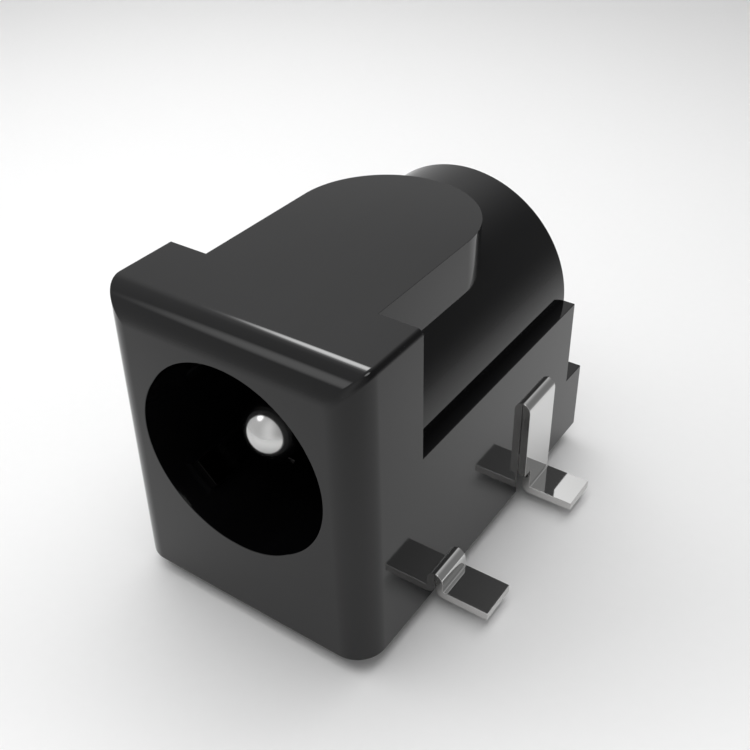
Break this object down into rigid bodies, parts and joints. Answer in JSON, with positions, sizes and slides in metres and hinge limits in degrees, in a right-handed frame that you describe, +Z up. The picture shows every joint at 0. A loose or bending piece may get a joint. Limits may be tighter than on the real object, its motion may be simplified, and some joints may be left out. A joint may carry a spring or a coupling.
{
  "type": "dc barrel jack",
  "caption": "Surface-mount barrel jack for round power plugs: moulded housing with centre pin, sleeve spring, switch contact, soldered feet and locating pegs.",
  "frame": {"origin": "on the front locating peg's axis, in the plane of the board that the feet are soldered to", "axes": "+X to the right seen from the front, +Y from the mouth to the rear along the bore, +Z up from the board"},
  "size_m": [0.013, 0.0142, 0.0112],
  "materials": {
    "housing_plastic": "glossy black moulding",
    "pin_plating": "nickel-plated brass, turned",
    "sheet_plating": "bright tin-plated copper alloy, stamped"
  },
  "bodies": {
    "root": {"housing": "housing_plastic", "centre_pin": "pin_plating", "pin_terminal": "sheet_plating", "sleeve_spring": "sheet_plating", "switch_contact": "sheet_plating", "anchor_tab": "sheet_plating"}
  },
  "joints": []
}
